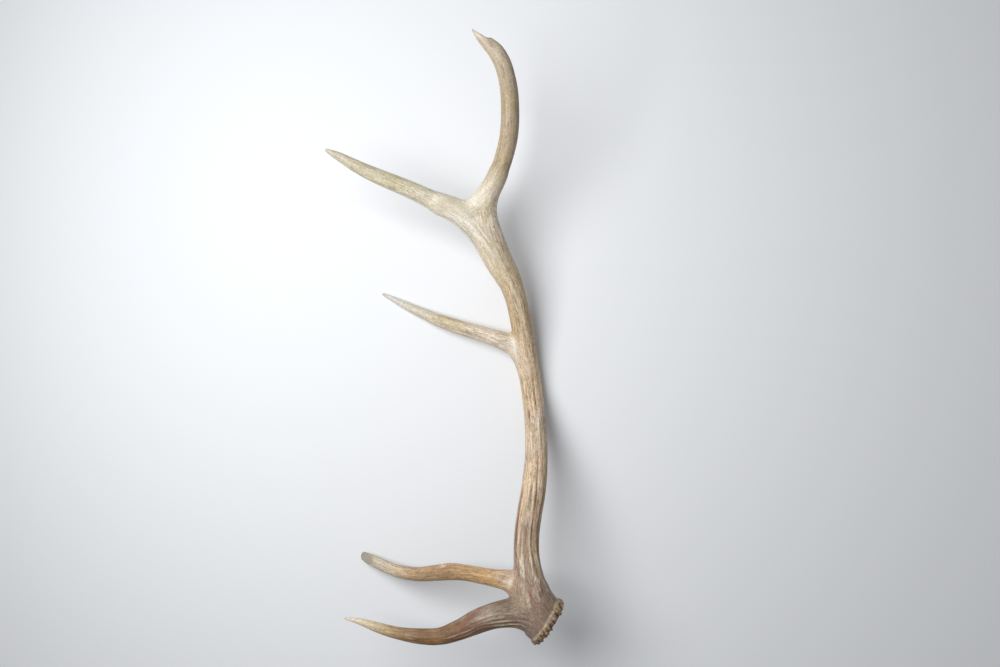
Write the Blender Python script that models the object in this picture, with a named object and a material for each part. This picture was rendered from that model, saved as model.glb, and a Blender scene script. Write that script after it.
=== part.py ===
"""A shed deer antler, lying on its outer side on a flat surface.

The antler grew as one branching piece of bone. It is modelled as eight closed solids, split at its
main forks, with a hairline gap at each cut:

    burr_base          the burr, and the fork where the brow and bez tines leave the beam
    brow_tine          the lowest tine, just above the burr
    bez_tine           the second tine, broken off obliquely at its end
    lower_beam         the beam between the two lower forks
    upper_beam         the beam's middle, the trez fork and the crown fork
    trez_tine          the middle tine
    crown_front_tine   the long tine of the crown fork
    crown_rear_tine    the beam's own end, above the crown fork

World frame in metres: +Z is up from the surface, +Y runs along the beam from the burr to the crown,
and the tines point towards -X. The origin is on the surface, under the middle of the whole antler.
"""

import math
import random

import bmesh
import bpy
import numpy as np
from mathutils import Matrix, Vector

MM = 0.001

# Stations along each limb, in mm: (x, y, z, radius). A limb starts inside the one that it grows from.
BEAM = (
    (160, -416, 156.5, 34),
    (148, -408, 156, 33),
    (138.5, -395, 156.5, 30),
    (127, -367, 156, 25.4),
    (121, -343, 152, 21.4),
    (118.4, -316, 146, 18.8),
    (119, -285, 137, 18.4),
    (123.5, -257, 126, 18.5),
    (131, -223, 107, 18.7),
    (136.7, -185, 83, 17.7),
    (139.4, -145, 55, 17.1),
    (138.9, -115, 35, 17.1),
    (136.9, -88, 21, 17),
    (133.5, -62, 16.2, 17.1),
    (126.2, -20, 22, 17.6),
    (116.5, 35, 39.5, 17),
    (108.3, 67, 51, 16.8),
    (97.5, 97, 62, 18.3),
    (81.4, 127, 74, 20.1),
    (68.7, 157, 88, 19.5),
    (60.6, 183, 99, 18.3),
    (58, 205, 107, 17),
    (63.2, 221, 114, 15),
    (73.9, 243, 125, 13.7),
    (84.1, 270, 139, 13.5),
    (91.6, 300, 154, 13.5),
    (93, 338, 173, 13.1),
    (88.2, 375, 191, 12.5),
    (78.5, 401, 202, 12.1),
    (70, 413, 206, 11.4),
    (58.5, 423, 209.5, 9),
    (48, 432, 213, 6.6),
    (39.5, 440, 216, 3.4),
)
BROW = (
    (144, -404, 157, 29),
    (122, -393, 158, 27.2),
    (100, -393, 159, 21.8),
    (78, -395.5, 160, 19.2),
    (49, -404, 160, 17.5),
    (20, -418, 156, 14.7),
    (-8, -428, 151.5, 12.3),
    (-38, -429, 147.5, 11),
    (-67, -426, 143, 9),
    (-97, -419, 139, 7.5),
    (-126, -410, 135.5, 4.7),
    (-148, -405.5, 133, 1.6),
)
BEZ = (
    (121, -376, 156, 15.6),
    (112, -361, 152, 16),
    (99, -353, 146, 16.8),
    (88, -350.5, 139, 15),
    (78, -350, 133, 13.5),
    (55, -349, 118, 12),
    (31, -347.5, 103.5, 11.8),
    (7, -348.5, 89, 12.7),
    (-18, -353.5, 75, 12),
    (-43, -358.5, 60, 10.9),
    (-68, -359, 44, 10),
    (-90, -355.5, 31, 9.3),
    (-106, -350.5, 22, 8.9),
    (-121, -345.5, 12.6, 8.5),
    (-135, -340.5, 5, 6.6),
)
TREZ = (
    (130, -46, 20.5, 12),
    (116, -20, 22.5, 13),
    (102, -4, 25, 14.2),
    (90, 2.5, 26, 14.2),
    (77, 7, 25.5, 12.6),
    (52, 15, 23.5, 11.9),
    (27, 22, 20.5, 11.3),
    (1, 30.5, 17, 10.6),
    (-19, 38, 13.5, 9.4),
    (-38, 46.5, 10.4, 8),
    (-60, 56.5, 7.1, 6.7),
    (-79, 66, 4.5, 5.1),
    (-92, 72.5, 3.3, 3.6),
    (-103, 78, 2.5, 1.8),
)
CROWN = (
    (92, 102, 66, 14),
    (70, 136, 81, 17.3),
    (55, 160, 92.5, 17.6),
    (33, 183, 101.5, 17.2),
    (14, 197.2, 106, 16.6),
    (-1, 204.5, 108.5, 15.6),
    (-30, 218, 114, 13.8),
    (-53, 228, 119, 12.8),
    (-98, 245, 129, 11.5),
    (-118, 253, 134, 10.4),
    (-138, 262.5, 139.5, 8.7),
    (-155, 271.5, 144, 6.7),
    (-168, 277.5, 148.5, 4.3),
    (-175.5, 281, 151, 2.2),
)
# The web of bone that rounds out the crown's crotch, from the front tine round to the rear one.
CROWN_WEB = (
    (-9, 208.5, 109.5, 12.5),
    (3, 206.5, 108.5, 12.5),
    (17, 202.5, 107.5, 12.3),
    (30, 202, 108, 12.5),
    (40, 205.5, 110, 12.4),
    (50, 213, 113, 12.4),
    (59.5, 223, 117, 11.9),
    (68.5, 236, 121.5, 11.3),
    (76, 249, 128, 10.3),
)

# Where each limb is cut, in mm along its line from its first station.
BEAM_CUTS = {"base": 113, "middle": 346, "crown": 770}
BROW_CUT = 84
BEZ_CUT = 48
TREZ_CUT = 72
CROWN_CUT = 170

# Plain breaks at two of the ends: (point in mm, outward direction).
BEZ_BREAK = ((-127, -343, 14.5), (-0.6, 0.25, 0.76))
REAR_BREAK = ((55, 434, 212), (0.44, 0.86, 0.25))

# The burr, a collar of pearls round the seat that was cast from the skull.
BURR_CENTRE = (148, -407.5, 156)
BURR_OUTWARD = (0.824, -0.566, 0.026)
BURR_RADIUS = 34.8
BURR_DEPTH = 8
BURR_ROUNDING = 2.5
ROUNDING_STEPS = 2
COLLAR_SIDES = 28
BASE_REACH = 2  # the beam's own tube ends this far beyond the middle of the collar
PEARLS = 26
PEARL_RADIUS = (3.2, 4.3)
PEARL_INSET = 0.5  # from the collar's edge to a pearl's middle
PEARL_WANDER = 1.5  # the most that a pearl sits off the collar's middle, along its axis
PEARL_SWAY = 0.2  # the most that it sits off its even place, as a part of the pearls' spacing
PEARL_SUBDIVISIONS = 2
SEED = 11

GAP = 0.3 * MM
RING_STEP = 13 * MM
OVERRUN = 8 * MM  # a limb is made this much too long at each cut, and then sliced to length
WELD_DISTANCE = 0.01 * MM
BEAM_SIDES = 14
TINE_SIDES = 12
SHARP_ANGLE = math.radians(40)

# Linear RGB colour and roughness of each finish.
WEATHERED_BASE = ((0.262, 0.195, 0.138), 0.75)
DRY_BEAM = ((0.456, 0.342, 0.219), 0.65)
GOLDEN_TINE = ((0.503, 0.342, 0.162), 0.6)
POLISHED_TINE = ((0.565, 0.456, 0.306), 0.55)


def clear_scene():
    """Removes every object, and the startup file's own collections."""
    for obj in list(bpy.data.objects):
        bpy.data.objects.remove(obj)
    for collection in list(bpy.data.collections):
        bpy.data.collections.remove(collection)


def add_collection(name):
    collection = bpy.data.collections.new(name)
    bpy.context.scene.collection.children.link(collection)
    return collection


def bone(name, colour, roughness):
    """A dull, dry bone finish in one colour."""
    material = bpy.data.materials.new(name)
    material.use_nodes = True
    shader = material.node_tree.nodes["Principled BSDF"]
    shader.inputs["Base Color"].default_value = (*colour, 1)
    shader.inputs["Roughness"].default_value = roughness
    shader.inputs["Metallic"].default_value = 0
    material.diffuse_color = (*colour, 1)
    return material


class Route:
    """A smooth line through a limb's stations, with the limb's radius along it.

    Between two stations it is a cubic whose slope at each one is the slope from the station before
    to the station after.
    """

    def __init__(self, stations):
        self.stations = np.array(stations, float) * MM
        steps = np.linalg.norm(np.diff(self.stations[:, :3], axis=0), axis=1)
        self.along = np.concatenate([[0], np.cumsum(steps)])
        self.slopes = np.gradient(self.stations, self.along, axis=0)

    @property
    def length(self):
        return self.along[-1]

    def at(self, distance):
        """(x, y, z, radius) at a distance along the line, or one row for each of several."""
        distance = np.asarray(distance, float)
        before = np.clip(np.searchsorted(self.along, distance) - 1, 0, len(self.along) - 2)
        span = self.along[before + 1] - self.along[before]
        t = ((distance - self.along[before]) / span)[..., None]
        span = span[..., None]
        return (
            (2 * t**3 - 3 * t**2 + 1) * self.stations[before]
            + (t**3 - 2 * t**2 + t) * span * self.slopes[before]
            + (3 * t**2 - 2 * t**3) * self.stations[before + 1]
            + (t**3 - t**2) * span * self.slopes[before + 1]
        )

    def cut_at(self, distance):
        """The point and the direction of a square cut across the limb."""
        behind, point, ahead = self.at(np.array([distance - MM, distance, distance + MM]))[:, :3]
        return Vector(point), Vector(ahead - behind).normalized()


def welded_mesh(curve):
    """The curve's own tube as a mesh, with its caps joined to its sides."""
    graph = bpy.context.evaluated_depsgraph_get()
    mesh = bpy.data.meshes.new_from_object(curve.evaluated_get(graph))
    shape = bmesh.new()
    shape.from_mesh(mesh)
    bmesh.ops.remove_doubles(shape, verts=shape.verts, dist=WELD_DISTANCE)
    bmesh.ops.recalc_face_normals(shape, faces=shape.faces)
    shape.to_mesh(mesh)
    shape.free()
    return mesh


def stretch(name, route, start, end, sides):
    """A closed tube along part of a route, as a mesh object."""
    rings = max(2, math.ceil((end - start) / RING_STEP) + 1)
    samples = route.at(np.linspace(start, end, rings))
    data = bpy.data.curves.new(name, "CURVE")
    data.dimensions = "3D"
    data.bevel_depth = 1
    data.bevel_resolution = sides // 2 - 2
    data.use_fill_caps = True
    spline = data.splines.new("POLY")
    spline.points.add(rings - 1)
    for point, (x, y, z, radius) in zip(spline.points, samples, strict=True):
        point.co = (x, y, z, 1)
        point.radius = radius
    curve = bpy.data.objects.new(name, data)
    bpy.context.scene.collection.objects.link(curve)
    mesh = welded_mesh(curve)
    mesh.name = name
    world = curve.matrix_world.copy()
    bpy.data.objects.remove(curve)
    bpy.data.curves.remove(data)
    solid = bpy.data.objects.new(name, mesh)
    solid.matrix_world = world
    return solid


def slice_off(solid, point, outward):
    """Cuts a solid with a plane, drops what lies beyond it and closes it with a flat face."""
    shape = bmesh.new()
    shape.from_mesh(solid.data)
    parts = shape.verts[:] + shape.edges[:] + shape.faces[:]
    bmesh.ops.bisect_plane(shape, geom=parts, plane_co=point, plane_no=outward, clear_outer=True)
    rim = [edge for edge in shape.edges if edge.is_boundary]
    bmesh.ops.holes_fill(shape, edges=rim, sides=0)
    bmesh.ops.recalc_face_normals(shape, faces=shape.faces)
    shape.to_mesh(solid.data)
    shape.free()


def rest_flat(solid):
    """Rubs off what would reach below the surface that the antler lies on."""
    slice_off(solid, Vector((0, 0, 0)), Vector((0, 0, -1)))


def limb(name, route, sides, start=None, end=None):
    """A limb between two square cuts, half a gap short of each. Without a cut it runs to its end."""
    first = 0 if start is None else start - OVERRUN
    last = route.length if end is None else end + OVERRUN
    solid = stretch(name, route, first, last, sides)
    if start is not None:
        point, direction = route.cut_at(start)
        slice_off(solid, point + direction * GAP / 2, -direction)
    if end is not None:
        point, direction = route.cut_at(end)
        slice_off(solid, point - direction * GAP / 2, direction)
    return solid


def join(solid, helper, helpers):
    """Unites a helper with a solid, and keeps the helper hidden in its own collection."""
    helpers.objects.link(helper)
    helper.hide_render = True
    helper.display_type = "WIRE"
    union = solid.modifiers.new(helper.name, "BOOLEAN")
    union.operation = "UNION"
    union.solver = "EXACT"
    union.object = helper


def burr_collar():
    """The burr's band, a short rounded disc across the seat."""
    shape = bmesh.new()
    turn = Vector(BURR_OUTWARD).to_track_quat("Z", "Y").to_matrix().to_4x4()
    bmesh.ops.create_cone(
        shape,
        cap_ends=True,
        segments=COLLAR_SIDES,
        radius1=BURR_RADIUS * MM,
        radius2=BURR_RADIUS * MM,
        depth=BURR_DEPTH * MM,
        matrix=Matrix.Translation(Vector(BURR_CENTRE) * MM) @ turn,
    )
    ends = [face for face in shape.faces if len(face.verts) > 4]
    rims = {edge for face in ends for edge in face.edges}
    bmesh.ops.bevel(
        shape,
        geom=list(rims),
        offset=BURR_ROUNDING * MM,
        segments=ROUNDING_STEPS,
        profile=0.5,
        affect="EDGES",
    )
    mesh = bpy.data.meshes.new("burr_collar")
    shape.to_mesh(mesh)
    shape.free()
    return bpy.data.objects.new("burr_collar", mesh)


def burr_pearls():
    """The pearls round the burr's rim: flattened knobs of unlike sizes, nearly evenly spaced."""
    draw = random.Random(SEED)
    outward = Vector(BURR_OUTWARD).normalized()
    turn = outward.to_track_quat("Z", "Y").to_matrix().to_4x4()
    for i in range(PEARLS):
        angle = 2 * math.pi * (i + draw.uniform(-PEARL_SWAY, PEARL_SWAY)) / PEARLS
        radius = draw.uniform(*PEARL_RADIUS) * MM
        rim = Vector((math.cos(angle), math.sin(angle), 0)) * (BURR_RADIUS - PEARL_INSET) * MM
        along = Vector((0, 0, draw.uniform(-1, 1) * PEARL_WANDER * MM))
        place = Matrix.Translation(Vector(BURR_CENTRE) * MM) @ turn @ Matrix.Translation(rim + along)
        shape = bmesh.new()
        bmesh.ops.create_icosphere(
            shape, subdivisions=PEARL_SUBDIVISIONS, radius=radius, matrix=place
        )
        mesh = bpy.data.meshes.new(f"pearl_{i:02d}")
        shape.to_mesh(mesh)
        shape.free()
        yield bpy.data.objects.new(f"pearl_{i:02d}", mesh)


def burr_base(beam, brow, bez, helpers):
    """The antler's foot: the beam's start, the roots of its two lowest tines, and the burr."""
    base = limb("burr_base", beam, BEAM_SIDES, end=BEAM_CUTS["base"] * MM)
    outward = Vector(BURR_OUTWARD).normalized()
    slice_off(base, (Vector(BURR_CENTRE) + outward * BASE_REACH) * MM, outward)
    join(base, limb("brow_root", brow, BEAM_SIDES, end=BROW_CUT * MM), helpers)
    join(base, limb("bez_root", bez, TINE_SIDES, end=BEZ_CUT * MM), helpers)
    join(base, burr_collar(), helpers)
    for pearl in burr_pearls():
        join(base, pearl, helpers)
    return base


def upper_beam(beam, trez, crown, web, helpers):
    """The beam from its lowest bow to the crown, with the crown's web and the roots of two tines."""
    start, end = BEAM_CUTS["middle"] * MM, BEAM_CUTS["crown"] * MM
    solid = limb("upper_beam", beam, BEAM_SIDES, start=start, end=end)
    rest_flat(solid)
    join(solid, limb("trez_root", trez, TINE_SIDES, end=TREZ_CUT * MM), helpers)
    join(solid, limb("crown_root", crown, BEAM_SIDES, end=CROWN_CUT * MM), helpers)
    join(solid, limb("crown_web", web, TINE_SIDES), helpers)
    return solid


def bez_tine(bez):
    """The bez tine, with its oblique break, and worn flat where it touches the surface."""
    solid = limb("bez_tine", bez, TINE_SIDES, start=BEZ_CUT * MM)
    point, outward = BEZ_BREAK
    slice_off(solid, Vector(point) * MM, Vector(outward).normalized())
    rest_flat(solid)
    return solid


def trez_tine(trez):
    """The trez tine, worn flat where it touches the surface near its tip."""
    solid = limb("trez_tine", trez, TINE_SIDES, start=TREZ_CUT * MM)
    rest_flat(solid)
    return solid


def crown_rear_tine(beam):
    """The beam's end above the crown fork, with a chipped tip."""
    solid = limb("crown_rear_tine", beam, TINE_SIDES, start=BEAM_CUTS["crown"] * MM)
    point, outward = REAR_BREAK
    slice_off(solid, Vector(point) * MM, Vector(outward).normalized())
    return solid


def main():
    clear_scene()
    antler = add_collection("deer_antler")
    helpers = add_collection("helpers")
    helpers.hide_render = True

    beam, brow, bez = Route(BEAM), Route(BROW), Route(BEZ)
    trez, crown, web = Route(TREZ), Route(CROWN), Route(CROWN_WEB)
    grey_brown = bone("weathered_base", *WEATHERED_BASE)
    tan = bone("dry_beam", *DRY_BEAM)
    golden = bone("golden_tine", *GOLDEN_TINE)
    pale = bone("polished_tine", *POLISHED_TINE)

    pieces = (
        (burr_base(beam, brow, bez, helpers), grey_brown),
        (limb("brow_tine", brow, TINE_SIDES, start=BROW_CUT * MM), grey_brown),
        (bez_tine(bez), golden),
        (
            limb(
                "lower_beam",
                beam,
                BEAM_SIDES,
                start=BEAM_CUTS["base"] * MM,
                end=BEAM_CUTS["middle"] * MM,
            ),
            tan,
        ),
        (upper_beam(beam, trez, crown, web, helpers), tan),
        (trez_tine(trez), pale),
        (limb("crown_front_tine", crown, TINE_SIDES, start=CROWN_CUT * MM), pale),
        (crown_rear_tine(beam), pale),
    )
    for solid, material in pieces:
        antler.objects.link(solid)
        solid.data.materials.append(material)
        solid.data.shade_smooth()
        solid.data.set_sharp_from_angle(angle=SHARP_ANGLE)


main()
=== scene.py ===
"""A shed deer antler, lying on its outer side on a pale floor, in soft studio light.

The antler grew as one branching piece of bone, so it is shown as one continuous mesh, which stands
for all eight solids of the frame. Each limb is a round section carried along a line. The limbs run
together in smooth fillets, the burr and its pearls are added round the foot, and the whole surface
is then raised and sunk by the ridges, grooves, pearls and breaks of the real bone.

Shapes are worked out in millimetres, in the frame's own axes, and become metres when a mesh is
written. An angle round a limb is 0 on its upper side and grows towards +X on the beam, and
towards +Y on the tines.
"""

from __future__ import annotations

import logging
import math
import random
from dataclasses import dataclass
from enum import Enum
from typing import Any

import bmesh
import bpy
import numpy as np
from mathutils import Matrix, Vector

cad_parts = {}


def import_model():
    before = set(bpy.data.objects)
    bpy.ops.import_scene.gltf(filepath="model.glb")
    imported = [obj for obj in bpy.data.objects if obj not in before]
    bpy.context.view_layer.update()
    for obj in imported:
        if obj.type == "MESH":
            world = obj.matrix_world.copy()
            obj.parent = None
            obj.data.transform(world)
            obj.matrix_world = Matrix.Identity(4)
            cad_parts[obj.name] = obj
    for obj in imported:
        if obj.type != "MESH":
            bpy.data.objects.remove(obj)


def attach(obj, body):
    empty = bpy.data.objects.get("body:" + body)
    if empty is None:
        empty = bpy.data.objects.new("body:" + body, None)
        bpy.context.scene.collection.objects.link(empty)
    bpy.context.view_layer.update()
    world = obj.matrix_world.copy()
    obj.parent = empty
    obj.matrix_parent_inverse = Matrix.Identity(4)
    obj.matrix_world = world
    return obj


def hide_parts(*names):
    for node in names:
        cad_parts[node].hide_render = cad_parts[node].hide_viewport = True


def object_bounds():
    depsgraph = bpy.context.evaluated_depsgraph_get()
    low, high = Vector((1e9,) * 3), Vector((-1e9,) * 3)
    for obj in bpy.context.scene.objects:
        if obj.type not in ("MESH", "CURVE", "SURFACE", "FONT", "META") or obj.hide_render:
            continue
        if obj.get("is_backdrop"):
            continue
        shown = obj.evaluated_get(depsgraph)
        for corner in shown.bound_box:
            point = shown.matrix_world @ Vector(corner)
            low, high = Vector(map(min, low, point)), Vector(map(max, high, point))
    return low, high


MM = 0.001
LOG = logging.getLogger("antler")

Array = np.ndarray
Point = tuple[float, float, float]
Stations = tuple[tuple[float, float, float, float], ...]
Pair = tuple[float, float]
Stops = tuple[Pair, ...]
Socket = bpy.types.NodeSocket
Inputs = dict[str | int, Any]

# The odd numbers that scatter a lattice corner's number into a random-looking height.
CORNER_KEYS = (374761393, 668265263, 2147483647)
SEED_KEY = 1274126177
SCATTER_KEYS = (1103515245, 668265263)
LOW_BITS = 0xFFFFFFFF


# ---- Small tools ----


def linear(hex_colour: str) -> tuple[float, float, float, float]:
    """Turns an sRGB hex colour into linear RGBA.

    Args:
        hex_colour: six hex digits, with or without a leading '#'.

    Returns:
        The colour as Blender's shaders want it, with an alpha of 1.
    """
    digits = hex_colour.lstrip("#")
    parts = [int(digits[i : i + 2], 16) / 255 for i in (0, 2, 4)]
    red, green, blue = (
        part / 12.92 if part <= 0.04045 else ((part + 0.055) / 1.055) ** 2.4 for part in parts
    )
    return (red, green, blue, 1.0)


def unit(vectors: Array) -> Array:
    """The vectors at length 1, along the last axis."""
    return vectors / np.maximum(np.linalg.norm(vectors, axis=-1, keepdims=True), 1e-9)


def smooth_step(low: float, high: float, values: Array) -> Array:
    """Rises from 0 at low to 1 at high, level at both ends: 3t^2 - 2t^3."""
    t = np.clip((values - low) / (high - low), 0, 1)
    return t * t * (3 - 2 * t)


def smooth_min(a: Array, b: Array, width: float) -> Array:
    """The smaller of two fields, rounded where they differ by less than width.

    With h = 1 - |a - b| / width, held at 0 or more, it is min(a, b) - h^2 * width / 4.
    """
    h = np.clip(1 - np.abs(a - b) / width, 0, None)
    return np.minimum(a, b) - h * h * width / 4


def smooth_max(a: Array, b: Array, width: float) -> Array:
    """The larger of two fields, rounded in the same way as smooth_min."""
    return -smooth_min(-a, -b, width)


def noise(places: Array, seed: int) -> Array:
    """Smooth noise between -1 and 1.

    Each corner of a unit lattice has a random height, and a point takes the heights of its cell's
    eight corners, weighted by 6t^5 - 15t^4 + 10t^3 along each axis.

    Args:
        places: rows of three coordinates, in lattice cells.
        seed: picks the set of heights.

    Returns:
        One height for each row.
    """
    cell = np.floor(places).astype(np.int64)
    t = places - cell
    ease = t**3 * (t * (6 * t - 15) + 10)
    total = np.zeros(len(places))
    for corner in np.ndindex(2, 2, 2):
        key = (cell + corner) @ np.array(CORNER_KEYS) + seed * SEED_KEY
        key = ((key & LOW_BITS) ^ ((key >> 13) & 0x7FFFF)) * SCATTER_KEYS[0] & LOW_BITS
        key = (key ^ (key >> 16)) * SCATTER_KEYS[1] & LOW_BITS
        weight = np.prod(np.where(corner, ease, 1 - ease), axis=1)
        total += weight * (key / (LOW_BITS // 2) - 1)
    return total


def add_node(
    tree: bpy.types.NodeTree,
    kind: str,
    settings: dict[str, Any] | None = None,
    inputs: Inputs | None = None,
) -> bpy.types.Node:
    """Adds a node, with its settings and with a value or a link for each named input.

    Args:
        tree: the node tree that it goes into.
        kind: the node's type name.
        settings: the node's own properties, by name.
        inputs: the sockets to fill, by name or number, each with a value or an output socket.

    Returns:
        The new node.
    """
    node = tree.nodes.new(kind)
    for name, value in (settings or {}).items():
        setattr(node, name, value)
    for name, value in (inputs or {}).items():
        if isinstance(value, Socket):
            tree.links.new(value, node.inputs[name])
        else:
            node.inputs[name].default_value = value
    return node


def add_object(name: str, data: bpy.types.ID) -> bpy.types.Object:
    """A new object in the scene, from its mesh, light or camera."""
    thing = bpy.data.objects.new(name, data)
    bpy.context.scene.collection.objects.link(thing)
    return thing


# ---- The antler's form ----


@dataclass(frozen=True)
class Crest:
    """A ridge that wanders along a limb, or a groove where its height is below 0.

    Staining above 0 darkens it and below 0 bleaches it; on the beam's shaded side it is painted
    shade.
    """

    line: Stops  # (distance along the limb, angle round it in degrees)
    width: float
    height: float
    stain: float = 0.0

    FADE = 0.18  # the share of the line's length over which each end fades

    def bell(self, along: Array, angle: Array, radius: Array) -> Array:
        """How near each point is to the ridge, 1 on its line and 0 away from it.

        Across the line it is exp(-(d / width)^2), with d the arc from the line to the point, and
        it fades in and out over the line's two ends.

        Args:
            along: each point's distance along the limb.
            angle: each point's angle round the limb, in degrees.
            radius: the limb's radius at each point.

        Returns:
            One value for each point.
        """
        distances, angles = np.array(self.line).T
        turn = (angle - np.interp(along, distances, angles) + 180) % 360 - 180
        arc = np.radians(turn) * radius
        fade = self.FADE * (distances[-1] - distances[0])
        start = smooth_step(distances[0], distances[0] + fade, along)
        end = smooth_step(distances[-1] - fade, distances[-1], along)
        return np.exp(-((arc / self.width) ** 2)) * start * (1 - end)


@dataclass(frozen=True)
class Knob:
    """A low swelling at one place on a limb, or a dent where its height is below 0."""

    along: float
    angle: float
    length: float
    width: float
    height: float
    stain: float = 0.0

    def bell(self, along: Array, angle: Array, radius: Array) -> Array:
        """How near each point is to the knob's middle: exp(-(x / length)^2 - (arc / width)^2)."""
        turn = (angle - self.angle + 180) % 360 - 180
        arc = np.radians(turn) * radius
        return np.exp(-(((along - self.along) / self.length) ** 2) - (arc / self.width) ** 2)


Marks = tuple[Crest | Knob, ...]


@dataclass(frozen=True)
class Break:
    """A plane on which a limb has broken off, or has chipped as far back as a step."""

    point: Point
    outward: Point
    step: tuple[Point, Point] | None = None  # a point on the step, and the way to the tip

    def height(self, points: Array) -> Array:
        """How far each point lies beyond the plane, and beyond the step where there is one."""
        beyond = (points - np.array(self.point)) @ unit(np.array(self.outward))
        if self.step:
            place, forward = (np.array(part) for part in self.step)
            beyond = np.minimum(beyond, (points - place) @ unit(forward))
        return beyond


@dataclass(frozen=True)
class Reading:
    """Where a set of points lies against one limb."""

    along: Array
    angle: Array
    radius: Array
    across: Array
    clearance: Array


@dataclass
class Limb:
    """A round section carried along a line, with the bone's tones and relief along it."""

    name: str
    stations: Stations
    tones: tuple[tuple[float, str], ...]
    relief: Stops
    fillet: float = 8.0
    polish: float = 70.0
    grain: Stops = ((0, 1.0),)
    marks: Marks = ()
    broken: Break | None = None

    SPACING = 2.5  # between the line's samples
    CHUNK = 16000  # points measured at a time
    BREAK_ROUNDING = 1.2
    CAP_RINGS = 6

    def __post_init__(self) -> None:
        """Works out the limb's line: middles, radii and the two directions across it."""
        stations = np.array(self.stations, float)
        steps = np.linalg.norm(np.diff(stations[:, :3], axis=0), axis=1)
        places = np.concatenate([[0], np.cumsum(steps)])
        self.length = float(places[-1])
        count = int(round(self.length / self.SPACING)) + 1
        self.along = np.linspace(0, self.length, count)
        table = self.through(stations, places, self.along)
        tangent = unit(np.gradient(table[:, :3], axis=0))
        up = np.array([0.0, 0.0, 1.0])
        up = unit(up - tangent * (tangent @ up)[:, None])
        side = np.cross(tangent, up)
        self.table = np.hstack([table, tangent, up, side])

    @staticmethod
    def through(stations: Array, places: Array, along: Array) -> Array:
        """A smooth line through the stations.

        Between two stations it is a cubic whose slope at each one is the slope from the station
        before to the station after.

        Args:
            stations: rows of x, y, z and radius.
            places: the distance of each station along the line.
            along: the distances wanted.

        Returns:
            A row of x, y, z and radius for each distance.
        """
        slopes = np.gradient(stations, places, axis=0)
        before = np.clip(np.searchsorted(places, along) - 1, 0, len(places) - 2)
        span = (places[before + 1] - places[before])[:, None]
        t = (along - places[before])[:, None] / span
        return (
            (2 * t**3 - 3 * t**2 + 1) * stations[before]
            + (t**3 - 2 * t**2 + t) * span * slopes[before]
            + (3 * t**2 - 2 * t**3) * stations[before + 1]
            + (t**3 - t**2) * span * slopes[before + 1]
        )

    def nearest(self, points: Array) -> Array:
        """The number of the line's sample nearest to each point, found a block at a time."""
        middles = self.table[:, :3]
        squares = (middles**2).sum(axis=1)
        found = [
            (squares - 2 * points[start : start + self.CHUNK] @ middles.T).argmin(axis=1)
            for start in range(0, len(points), self.CHUNK)
        ]
        return np.concatenate(found)

    def read(self, points: Array) -> Reading:
        """Measures points against the limb.

        A point's foot is the nearest sample, slid along the tangent there. Its clearance is its
        distance from the foot less the radius at the foot, and what lies beyond a break is outside.

        Args:
            points: rows of x, y and z.

        Returns:
            The points' places along and round the limb, and their clearance from its surface.
        """
        near = self.nearest(points)
        slide = np.einsum("ij,ij->i", points - self.table[near, :3], self.table[near, 4:7])
        along = np.clip(self.along[near] + slide, 0, self.length)
        cell = along / self.length * (len(self.along) - 1)
        low = np.minimum(cell.astype(int), len(self.along) - 2)
        part = (cell - low)[:, None]
        row = self.table[low] * (1 - part) + self.table[low + 1] * part
        offset = points - row[:, :3]
        across = np.stack(
            [np.einsum("ij,ij->i", offset, row[:, k : k + 3]) for k in (7, 10)], axis=1
        )
        clearance = np.linalg.norm(offset, axis=1) - row[:, 3]
        if self.broken:
            clearance = smooth_max(clearance, self.broken.height(points), self.BREAK_ROUNDING)
        angle = np.degrees(np.arctan2(across[:, 1], across[:, 0]))
        return Reading(along, angle, row[:, 3], across, clearance)

    def tube(self, sides: int) -> tuple[Array, Array]:
        """The limb's plain closed tube, as a grid of rings with rounded ends.

        A ring is middle + radius * (cos a * up + sin a * side). At each end, rings at angle b carry
        on by radius * sin b along the tangent, with their radius times cos b, down to a point.

        Args:
            sides: points in a ring.

        Returns:
            The points, and the corners of each four-sided face.
        """
        cap = np.linspace(0, math.pi / 2, self.CAP_RINGS + 1)[1:]
        first = np.repeat(self.table[:1], len(cap), axis=0)
        last = np.repeat(self.table[-1:], len(cap), axis=0)
        first[:, :3] -= first[:, 4:7] * (first[:, 3] * np.sin(cap))[:, None]
        last[:, :3] += last[:, 4:7] * (last[:, 3] * np.sin(cap))[:, None]
        first[:, 3] *= np.cos(cap)
        last[:, 3] *= np.cos(cap)
        rings = np.vstack([first[::-1], self.table, last])
        turn = np.linspace(0, 2 * math.pi, sides, endpoint=False)
        way = (
            np.cos(turn)[None, :, None] * rings[:, None, 7:10]
            + np.sin(turn)[None, :, None] * rings[:, None, 10:13]
        )
        points = rings[:, None, :3] + way * rings[:, None, 3:4]
        return points.reshape(-1, 3), grid_faces(len(rings), sides)


def grid_faces(rings: int, sides: int) -> Array:
    """The faces between the rings of a grid that closes on itself round each ring."""
    ring, side = np.meshgrid(np.arange(rings - 1), np.arange(sides), indexing="ij")
    ahead = (side + 1) % sides
    corners = [ring * sides + side, ring * sides + ahead]
    corners += [(ring + 1) * sides + ahead, (ring + 1) * sides + side]
    return np.stack(corners, axis=-1).reshape(-1, 4)


@dataclass(frozen=True)
class PearlRow:
    """A ring of pearls round the burr, in one row."""

    count: int
    reach: float
    heights: Pair
    radii: Pair
    sway: float  # how far a pearl strays from its even place, in steps between pearls


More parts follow.
